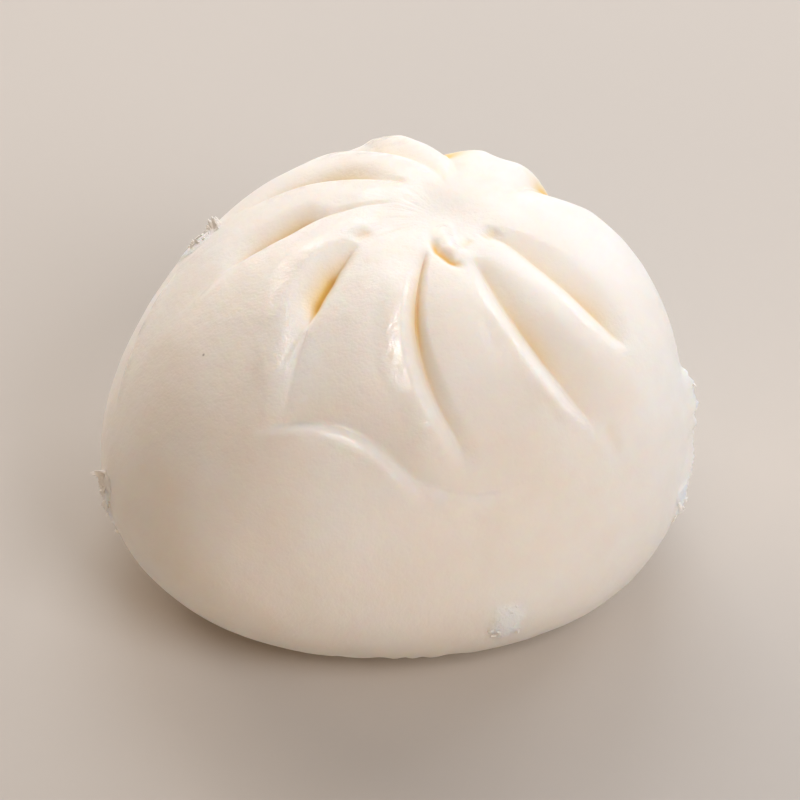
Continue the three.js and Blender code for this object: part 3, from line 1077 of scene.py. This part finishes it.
    def handle(self, spots: Spots) -> tuple[np.ndarray, ...]:
        """Lay the rolls, the torn skin, the strokes and the flutes over the skin.

        Args:
            spots: Places on the skin.

        Returns:
            The height that they add, how damp and how torn each place is, and the depth of crease
            that the pinches count for.
        """
        height = -self.flutes.sink(spots)
        damp = torn = pinched = np.zeros_like(height)
        for roll in self.rolls:
            sink, edge = roll.sink(spots)
            height = height - sink
            damp = np.maximum(damp, edge)
        for patch in self.tears + self.flaps:
            inside, rise = patch.pull(spots)
            height = height + rise
            torn = np.maximum(torn, inside)
        for stroke in self.strokes:
            rise = stroke.rise(spots)
            height = height + rise
            damp = np.maximum(damp, np.minimum(self.ridge_counts * rise, 1.0))
            # A sunk stroke counts as crease, so it gets the creases' painted warm shade too.
            pinched = np.maximum(pinched, -self.pinch_counts * rise)
        return height, damp, torn, pinched

    def marks(
        self, spots: Spots, creased: np.ndarray, damp: np.ndarray, torn: np.ndarray
    ) -> dict[str, np.ndarray]:
        """Give the point attributes.

        Args:
            spots: Places on the skin.
            creased: How deep in a crease each place is, in millimetres.
            damp: How damp each place is, apart from the gathered top.
            torn: How torn each place is.

        Returns:
            Each attribute under its name.
        """
        # Painted warm shade: the deeper in a crease, the yellower the colour.
        crease = np.clip(creased / self.yellow_at, 0.0, 1.0) ** self.yellow_power
        crease = crease * (1 - self.yellow_fade * smooth(*self.yellow_fades, spots.distance))
        away = smooth(*self.gather_eases_over, np.abs(turn(self.gathered_toward, spots.bearing)))
        gather = smooth(*self.gathers_over, spots.distance)
        gather = gather * (1 - smooth(*self.gather_ends_over, spots.distance))
        gather = gather * (1 - (1 - self.least_gather) * away) * (1 - crease)
        damp = np.clip(np.maximum(damp, self.gather_counts * gather), 0.0, 1.0)
        fray = self.frayed_rim * torn * (1 - torn) + self.frayed_inside * torn
        calm = smooth(0.0, self.settles_over, spots.height) * (1 - crease)
        around = np.radians(spots.bearing)
        return {
            SkinData.CREASE.value: crease,
            SkinData.TORN.value: torn,
            SkinData.FRAY.value: np.clip(fray, 0.0, 1.0),
            SkinData.CALM.value: calm * smooth(*self.calms_over, spots.distance),
            SkinData.GATHER.value: gather,
            SkinData.DAMP.value: damp * (1 - crease),
            SkinData.SPOKES.value: np.stack([
                self.wrinkle_spokes * np.cos(around), self.wrinkle_spokes * np.sin(around),
                spots.distance / self.wrinkle_length], axis=-1),
        }

    def lobe_surface(self, first: Pleat, last: Pleat, shares: np.ndarray) -> dict[str, np.ndarray]:
        """Shape the skin of one lobe.

        Args:
            first: The pleat before the lobe.
            last: The pleat after it.
            shares: How far across the lobe each column runs, from 0 to 1.

        Returns:
            The places of the lobe's points, and each point attribute under its name.
        """
        bearing, distance, span, slope = self.columns_of(first, last, shares)
        plain = self.form.place(bearing, slope)
        radius = self.form.radius_share(slope) * self.form.belly_half_width
        spots = Spots(bearing % 360, distance, radius, plain[..., 2])
        share = shares[:, None]
        width = np.radians(span) * radius
        near_wall, near_edge = first.wall(Lap.AFTER, distance, share * width, width)
        far_wall, far_edge = last.wall(Lap.BEFORE, distance, (1 - share) * width, width)
        walls = near_wall + far_wall
        lips = first.lip * near_edge + last.lip * far_edge
        swell = smooth(*self.swells_over, distance) * (1 - smooth(*self.swell_ends_over, distance))
        swell = self.lobe_swell * swell * np.sin(np.pi * share) ** 2
        handled, damp, torn, pinched = self.handle(spots)
        height = smooth(0.0, self.settles_over, spots.height) * (swell + lips - walls + handled)
        damp = np.maximum(damp, np.minimum(lips / self.lip_counts, 1.0))
        return {
            "places": plain + height[..., None] * self.form.normal(bearing, slope),
            **self.marks(spots, np.maximum(walls, pinched), damp, torn),
        }

    def mesh(self) -> Object:
        """Build the closed skin with its point attributes.

        Returns:
            The skin's object, before its fine relief.
        """
        surfaces = [self.lobe_surface(*lobe) for lobe in self.lobes()]
        grid = {key: np.concatenate([surface[key] for surface in surfaces]) for key in surfaces[0]}
        columns, rows = grid["places"].shape[:2]
        knot = self.form.place(np.array(0.0), np.array(90.0))
        foot = np.array([-self.form.plan_middle[0], -self.form.plan_middle[1], 0.0])
        places = np.concatenate([knot[None], grid["places"].reshape(-1, 3), foot[None]])
        last = len(places) - 1
        faces: Faces = []
        for column in range(columns):
            here = 1 + column * rows
            beside = 1 + (column + 1) % columns * rows
            faces.append((0, here, beside))
            for row in range(rows - 1):
                faces.append((here + row, here + row + 1, beside + row + 1, beside + row))
            faces.append((here + rows - 1, last, beside + rows - 1))
        skin = link_mesh(self.name, places, faces)
        for data in SkinData:
            values = grid[data.value]
            kind, key = ("FLOAT_VECTOR", "vector") if values.ndim == 3 else ("FLOAT", "value")
            flat = values.reshape(columns * rows, -1)
            ends = np.zeros((1, flat.shape[1]))
            whole = np.concatenate([ends, flat, ends]).astype(np.float32)
            attribute = skin.data.attributes.new(data.value, kind, "POINT")
            attribute.data.foreach_set(key, whole.ravel())
        return skin

    def relief_tree(self) -> NodeTree:
        """Build the tree that lays the dough's fine unevenness over the skin.

        Returns:
            A Geometry Nodes tree with an input for the height and size of each kind of relief.
        """
        sizes = [relief.name + ending for relief in self.reliefs for ending in ("", " Scale")]
        tree, given = new_geometry_tree("dough_relief", sizes, seed="NodeSocketFloat")
        place = add_node(tree, "GeometryNodeInputPosition")
        spokes = add_node(tree, "GeometryNodeInputNamedAttribute", {
            "Name": SkinData.SPOKES.value}, data_type="FLOAT_VECTOR")
        total = 0.0
        for relief in self.reliefs:
            noise = add_node(tree, "ShaderNodeTexNoise", {
                "Vector": spokes if relief.along_spokes else place, "W": given.outputs["Seed"],
                "Scale": given.outputs[relief.name + " Scale"], "Detail": relief.detail},
                noise_dimensions="4D")
            swing = add_node(tree, "ShaderNodeMapRange", {
                "Value": noise, "To Min": -1.0, "To Max": 1.0}, clamp=False)
            height = add_node(tree, "ShaderNodeMath", {
                0: swing, 1: given.outputs[relief.name]}, operation="MULTIPLY")
            share = add_node(tree, "GeometryNodeInputNamedAttribute", {
                "Name": relief.mask.value}, data_type="FLOAT")
            total = add_node(tree, "ShaderNodeMath", {
                0: height, 1: share, 2: total}, operation="MULTIPLY_ADD")
        normal = add_node(tree, "GeometryNodeInputNormal")
        offset = add_node(tree, "ShaderNodeVectorMath", {
            0: normal, "Scale": total}, operation="SCALE")
        moved = add_node(tree, "GeometryNodeSetPosition", {
            "Geometry": given.outputs["Geometry"], "Offset": offset})
        whole = add_node(tree, "GeometryNodeRealizeInstances", {"Geometry": moved})
        dressed = add_node(tree, "GeometryNodeSetMaterial", {
            "Geometry": whole, "Material": given.outputs["Material"]})
        add_node(tree, "NodeGroupOutput", {"Geometry": dressed})
        return tree

    def speck_place(self) -> np.ndarray:
        """Find the speck of bran on the skin.

        Returns:
            Its place in millimetres.
        """
        bearing = np.array([self.speck_bearing])
        slope = self.form.slope_at(bearing, np.array([self.speck_distance]))
        return self.form.place(bearing, slope)[0]

    def build(self) -> Object:
        """Make the skin, lay its fine relief over it and dress it.

        Returns:
            The finished piece.
        """
        skin = self.mesh()
        modifier = skin.modifiers.new("relief", "NODES")
        modifier.node_group = self.relief_tree()
        set_inputs(modifier, {
            **{relief.name: relief.height * MM for relief in self.reliefs},
            **{relief.name + " Scale": 1.0 if relief.along_spokes else 1 / (relief.size * MM)
               for relief in self.reliefs},
            "Seed": self.relief_seed,
            "Material": self.finish.material(self.speck_place()),
        })
        bake_modifiers(skin)
        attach(skin, BODY)
        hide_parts(CAD_BUN)
        return skin


@dataclass(frozen=True)
class Peel:
    """A scrap of skin that was pulled up: thin and ragged, fast at one side and loose at the other.

    loose_toward is in degrees round the scrap, from 0 towards higher bearings to 90 away from the
    knot. notches are its outline's: how many to a radius, and their shares of the raggedness. fray
    is how unevenly the loose side lifts. Lift and root ease over shares of the way from the middle
    to the rim.
    """

    bearing: float
    distance: float
    half_across: float
    half_along: float
    lift: float
    loose_toward: float
    thickness: float = 0.3
    raggedness: float = 0.16
    notches: Course = ((2.0, 1.0), (6.0, 0.5), (16.0, 0.4))
    looseness: float = 1.5
    fray: float = 0.5
    fray_notches: float = 9.0
    lifts_over: Span = (0.2, 1.0)
    root_ends_over: Span = (0.5, 1.0)
    rim_fullness: float = 6.0
    sunk: float = 0.35
    ground: float = 0.1
    ground_size: float = 0.9
    seed: float = 0.0
    rings: int = 16
    spokes: int = 160

    def layers(self, form: PlainForm, rise: float) -> tuple[np.ndarray, np.ndarray]:
        """Lay the scrap out in rings round its middle.

        Args:
            form: The plain form that it lies on.
            rise: How far over the plain form the skin is there.

        Returns:
            The places of its upper side and of its lower side, by ring and spoke.
        """
        angle = 2 * np.pi * np.arange(self.spokes) / self.spokes
        east, south = np.cos(angle), np.sin(angle)
        outline = np.ones(self.spokes)
        for count, share in self.notches:
            notch = roughness(self.seed + count * east, count * south)
            outline = outline + self.raggedness * share * notch
        ring = (np.arange(1, self.rings + 1) / self.rings)[:, None]
        across = ring * outline * self.half_across * east
        along = ring * outline * self.half_along * south
        middle = np.array([self.bearing])
        place = form.place(middle, form.slope_at(middle, np.array([self.distance])))[0]
        radius = math.hypot(place[0], place[1])
        bearing = (self.bearing + np.degrees(across / radius)).ravel()
        slope = form.slope_at(bearing, (self.distance + along).ravel())
        plain = form.place(bearing, slope).reshape(self.rings, self.spokes, 3)
        outward = form.normal(bearing, slope).reshape(self.rings, self.spokes, 3)

        loose = (0.5 + 0.5 * np.cos(angle - math.radians(self.loose_toward))) ** self.looseness
        notch = roughness(self.seed + self.fray_notches * east, self.fray_notches * south)
        lift = self.lift * loose * (1 + self.fray * notch)
        height = rise + lift * smooth(*self.lifts_over, ring)
        lumps = roughness(across / self.ground_size + self.seed, along / self.ground_size)
        height = height + self.ground * lumps - self.sunk * (1 - loose) * ring ** 2
        root = height + self.sunk * (1 + ring ** 2) * (1 - smooth(*self.root_ends_over, ring))
        thick = (self.thickness + root) * np.sqrt(np.maximum(1 - ring ** self.rim_fullness, 0.0))
        return plain + height[..., None] * outward, plain + (height - thick)[..., None] * outward

    def shell(self, form: PlainForm, rise: float, first: int) -> tuple[np.ndarray, Faces]:
        """Close the scrap's two sides round its rim.

        Args:
            form: The plain form that it lies on.
            rise: How far over the plain form the skin is there.
            first: The number that its first point gets.

        Returns:
            Its points, and its faces with their points counter-clockwise from outside.
        """
        upper, lower = self.layers(form, rise)
        inner = self.rings - 1
        tops = np.concatenate([upper[:1].mean(axis=1), upper.reshape(-1, 3)])
        bottoms = np.concatenate([lower[:1].mean(axis=1), lower[:inner].reshape(-1, 3)])
        below = first + len(tops)
        faces: Faces = []
        for here in range(self.spokes):
            beside = (here + 1) % self.spokes
            faces.append((first, first + 1 + beside, first + 1 + here))
            faces.append((below, below + 1 + here, below + 1 + beside))
            for ring in range(inner):
                start = first + 1 + ring * self.spokes
                end = start + self.spokes
                faces.append((start + here, start + beside, end + beside, end + here))
                start = below + 1 + ring * self.spokes
                end = start + self.spokes if ring < inner - 1 else first + 1 + inner * self.spokes
                faces.append((start + here, end + here, end + beside, start + beside))
        return np.concatenate([tops, bottoms]), faces


@dataclass
class PeeledSkin:
    """The scraps of skin that were pulled loose where the bun stuck to its neighbours."""

    form: PlainForm = PlainForm()
    finish: SteamedDough = SteamedDough(
        "peeled_wheat_dough", flesh="#fbf8f2", shade="#f8f2e8",
        sheen_roughness=0.45, scatter_weight=0.0)
    name: str = "peeled_skin"
    rise: float = 0.15
    peels: tuple[Peel, ...] = (
        Peel(bearing=342, distance=69.5, half_across=1.6, half_along=1.9,  # right frill
             lift=0.9, loose_toward=30, thickness=0.5, seed=2.0, raggedness=0.22),
        Peel(bearing=346, distance=66.0, half_across=0.8, half_along=1.0,  # right crumb
             lift=0.8, loose_toward=0, thickness=0.6, seed=8.0),
        Peel(bearing=199.5, distance=76.0, half_across=2.6, half_along=4.6,  # left frill
             lift=0.8, loose_toward=180, seed=3.0, raggedness=0.22),
        Peel(bearing=197.5, distance=72.6, half_across=0.9, half_along=0.8,  # left knob
             lift=1.5, loose_toward=180, thickness=0.8, seed=4.0),
        Peel(bearing=152.5, distance=41.2, half_across=1.5, half_along=2.0,  # upper left scrap
             lift=1.3, loose_toward=200, thickness=0.9, seed=5.0, raggedness=0.22),
        Peel(bearing=157.5, distance=43.4, half_across=0.8, half_along=1.1,  # upper left crumb
             lift=0.8, loose_toward=180, thickness=0.6, seed=6.0),
    )

    def build(self) -> Object:
        """Make all the scraps as one piece and dress it.

        Returns:
            The finished piece.
        """
        places: list[np.ndarray] = []
        faces: Faces = []
        for peel in self.peels:
            points, sides = peel.shell(self.form, self.rise, sum(len(done) for done in places))
            places.append(points)
            faces.extend(sides)
        scraps = link_mesh(self.name, np.concatenate(places), faces)
        scraps.data.materials.append(self.finish.material())
        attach(scraps, BODY)
        return scraps


@dataclass
class TornShreds:
    """Small curled shreds that stand up from the torn patches."""

    finish: MattFinish = TORN_DOUGH
    name: str = "torn_skin_shreds"
    density: float = 0.35
    length: float = 1.0
    width: float = 0.6
    thickness: float = 0.3
    curl: float = 0.15
    sizes: Span = (0.45, 1.3)
    tilts: Span = (-0.5, 0.15)
    blunt_end: float = 0.12
    steps: int = 6
    seed: int = 11

    def shred_tree(self) -> NodeTree:
        """Build the tree that scatters shreds over the torn patches of a skin.

        Returns:
            A Geometry Nodes tree with an input for each size of a shred.
        """
        sizes = ["Density", "Length", "Width", "Thickness", "Curl"]
        tree, given = new_geometry_tree("torn_shreds", sizes, seed="NodeSocketInt")
        fray = add_node(tree, "GeometryNodeInputNamedAttribute", {
            "Name": SkinData.FRAY.value}, data_type="FLOAT")
        density = add_node(tree, "ShaderNodeMath", {
            0: fray, 1: given.outputs["Density"]}, operation="MULTIPLY")
        points = add_node(tree, "GeometryNodeDistributePointsOnFaces", {
            "Mesh": given.outputs["Geometry"], "Density": density,
            "Seed": given.outputs["Seed"]}, distribute_method="RANDOM")

        # A shred is one unit long and curls up. Its width follows a half circle over its length,
        # 2 * sqrt(t * (1 - t)), and is blunt at the ends.
        middle = add_node(tree, "ShaderNodeCombineXYZ", {"Z": given.outputs["Curl"]})
        tip = add_node(tree, "ShaderNodeCombineXYZ", {"X": 0.5, "Z": given.outputs["Curl"]})
        spine = add_node(tree, "GeometryNodeCurveQuadraticBezier", {
            "Resolution": self.steps, "Start": (-0.5, 0.0, 0.0), "Middle": middle, "End": tip})
        along = add_node(tree, "GeometryNodeSplineParameter").outputs["Factor"]
        rest = add_node(tree, "ShaderNodeMath", {0: 1.0, 1: along}, operation="SUBTRACT")
        width = add_node(tree, "ShaderNodeMath", {0: along, 1: rest}, operation="MULTIPLY")
        for operation, number in (("MULTIPLY", 4.0), ("POWER", 0.5), ("MAXIMUM", self.blunt_end)):
            width = add_node(tree, "ShaderNodeMath", {0: width, 1: number}, operation=operation)
        tapered = add_node(tree, "GeometryNodeSetCurveRadius", {"Curve": spine, "Radius": width})
        section = add_node(tree, "GeometryNodeCurvePrimitiveCircle", {
            "Resolution": self.steps, "Radius": 0.5})
        flat = add_node(tree, "ShaderNodeCombineXYZ", {
            "X": given.outputs["Width"], "Y": given.outputs["Thickness"], "Z": 1.0})
        flattened = add_node(tree, "GeometryNodeTransform", {"Geometry": section, "Scale": flat})
        shred = add_node(tree, "GeometryNodeCurveToMesh", {
            "Curve": tapered, "Profile Curve": flattened, "Fill Caps": True})

        stand = add_node(tree, "FunctionNodeAlignRotationToVector", {
            "Vector": points.outputs["Normal"]}, axis="Z")
        spin = add_node(tree, "FunctionNodeRandomValue", {
            0: (0.0, self.tilts[0], 0.0), 1: (0.0, self.tilts[1], math.tau),
            "Seed": given.outputs["Seed"]}, data_type="FLOAT_VECTOR")
        spun = add_node(tree, "FunctionNodeEulerToRotation", {"Euler": spin})
        turned = add_node(tree, "FunctionNodeRotateRotation", {
            "Rotation": stand, "Rotate By": spun}, rotation_space="LOCAL")
        size = add_node(tree, "FunctionNodeRandomValue", {
            2: self.sizes[0], 3: self.sizes[1], "Seed": given.outputs["Seed"]}, data_type="FLOAT")
        grown = add_node(tree, "ShaderNodeMath", {
            0: size.outputs[1], 1: given.outputs["Length"]}, operation="MULTIPLY")
        placed = add_node(tree, "GeometryNodeInstanceOnPoints", {
            "Points": points, "Instance": shred, "Rotation": turned, "Scale": grown})
        whole = add_node(tree, "GeometryNodeRealizeInstances", {"Geometry": placed})
        smoothed = add_node(tree, "GeometryNodeSetShadeSmooth", {"Geometry": whole})
        dressed = add_node(tree, "GeometryNodeSetMaterial", {
            "Geometry": smoothed, "Material": given.outputs["Material"]})
        add_node(tree, "NodeGroupOutput", {"Geometry": dressed})
        return tree

    def build(self, skin: Object) -> Object:
        """Scatter the shreds over a finished skin.

        Args:
            skin: The skin, with its point attributes.

        Returns:
            The finished piece.
        """
        shreds = bpy.data.objects.new(self.name, skin.data.copy())
        bpy.context.scene.collection.objects.link(shreds)
        modifier = shreds.modifiers.new("shreds", "NODES")
        modifier.node_group = self.shred_tree()
        set_inputs(modifier, {
            "Density": self.density / MM ** 2,
            "Length": self.length * MM,
            "Width": self.width / self.length,
            "Thickness": self.thickness / self.length,
            "Curl": self.curl,
            "Seed": self.seed,
            "Material": self.finish.material(),
        })
        bake_modifiers(shreds)
        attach(shreds, BODY)
        return shreds


# ---- The studio ----------------------------------------------------------------------------------


@dataclass(frozen=True)
class SoftLight:
    """One square soft box that faces the bun.

    One without glare leaves no reflection, and one that only glints lights nothing but reflections.
    """

    name: str
    bearing: float
    elevation: float
    side: float
    power: float
    tint: str = "#ffffff"
    distance: float = 1000.0
    glare: bool = True
    glint_only: bool = False

    def build(self, aim: Vector) -> Object:
        """Hang the light.

        Args:
            aim: The place that it faces, in metres.

        Returns:
            The light's object.
        """
        bearing, elevation = math.radians(self.bearing), math.radians(self.elevation)
        away = Vector((
            math.cos(bearing) * math.cos(elevation),
            math.sin(bearing) * math.cos(elevation),
            math.sin(elevation)))
        data = bpy.data.lights.new(self.name, "AREA")
        data.shape = "SQUARE"
        data.size = self.side * MM
        data.energy = self.power
        data.color = linear_colour(self.tint)[:3]
        light = bpy.data.objects.new(self.name, data)
        light.location = aim + away * self.distance * MM
        light.rotation_euler = away.to_track_quat("Z", "Y").to_euler()
        light.visible_camera = False
        light.visible_glossy = self.glare
        light.visible_diffuse = not self.glint_only
        bpy.context.scene.collection.objects.link(light)
        return light


@dataclass
class Studio:
    """A pale floor, soft light and a camera that looks down on the bun."""

    floor: MattFinish = PAINTED_BOARD
    floor_half: float = 4000.0
    floor_gap: float = 0.02
    aim: tuple[float, float, float] = (0.6, -1.7, 25.4)
    elevation: float = 42.0
    distance: float = 650.0
    lens: float = 188.0
    clip: Span = (0.05, 20.0)
    lights: tuple[SoftLight, ...] = (
        SoftLight("window", bearing=90, elevation=42, side=600, power=5.2, tint="#f0f5fe"),
        SoftLight("left_window", bearing=127, elevation=25, side=600, power=5.2, tint="#fff2e8"),
        SoftLight("catch_light", bearing=260, elevation=86, side=350, power=7.5, glint_only=True),
        SoftLight("low_catch_light", bearing=250, elevation=56, side=600, power=6.5,
                  glint_only=True),
        SoftLight("front_soft_box", bearing=315, elevation=42, side=500, power=5.5, tint="#f5f7ff",
                  glare=False),
        SoftLight("side_glow", bearing=45, elevation=25, side=500, power=4.0, tint="#f6f7ff"),
        SoftLight("low_fill", bearing=262, elevation=36, side=700, power=2.4, tint="#ffdab4",
                  glare=False),
    )
    sky: str = "#e9ecf0"
    sky_strength: float = 0.03

    def lay_floor(self) -> None:
        """Lay the floor under the bun, just clear of its foot."""
        half = self.floor_half
        corners = ((-half, -half), (half, -half), (half, half), (-half, half))
        places = np.array([(*corner, -self.floor_gap) for corner in corners])
        floor = link_mesh("studio_floor", places, [(0, 1, 2, 3)])
        floor.data.materials.append(self.floor.material())

    def set_camera(self) -> None:
        """Set the camera up in front of the bun and above it."""
        data = bpy.data.cameras.new("camera")
        data.lens = self.lens
        data.clip_start, data.clip_end = self.clip
        camera = bpy.data.objects.new("camera", data)
        elevation = math.radians(self.elevation)
        back = Vector((0.0, -math.cos(elevation), math.sin(elevation)))
        camera.location = (Vector(self.aim) + back * self.distance) * MM
        camera.rotation_euler = back.to_track_quat("Z", "Y").to_euler()
        bpy.context.scene.collection.objects.link(camera)
        bpy.context.scene.camera = camera

    def set_sky(self) -> None:
        """Fill the room with even, pale light."""
        world = bpy.data.worlds.new("studio_room")
        world.use_nodes = True
        world.node_tree.nodes.clear()
        sky = add_node(world.node_tree, "ShaderNodeBackground", {
            "Color": linear_colour(self.sky), "Strength": self.sky_strength})
        add_node(world.node_tree, "ShaderNodeOutputWorld", {"Surface": sky})
        bpy.context.scene.world = world

    def build(self) -> None:
        """Set up the whole studio."""
        self.set_camera()
        self.lay_floor()
        self.set_sky()
        for light in self.lights:
            light.build(Vector(self.aim) * MM)
        bpy.context.scene.view_settings.view_transform = "Standard"


# ---- The whole -----------------------------------------------------------------------------------


def main() -> None:
    """Build the bun and its studio, and report each piece."""
    logging.basicConfig(level=logging.INFO, format="%(name)s: %(message)s")
    Studio().build()
    skin = PleatedSkin().build()
    for piece in (skin, PeeledSkin().build(), TornShreds().build(skin)):
        log.info("%s has %d points", piece.name, len(piece.data.vertices))


if __name__ == "__main__":
    main()
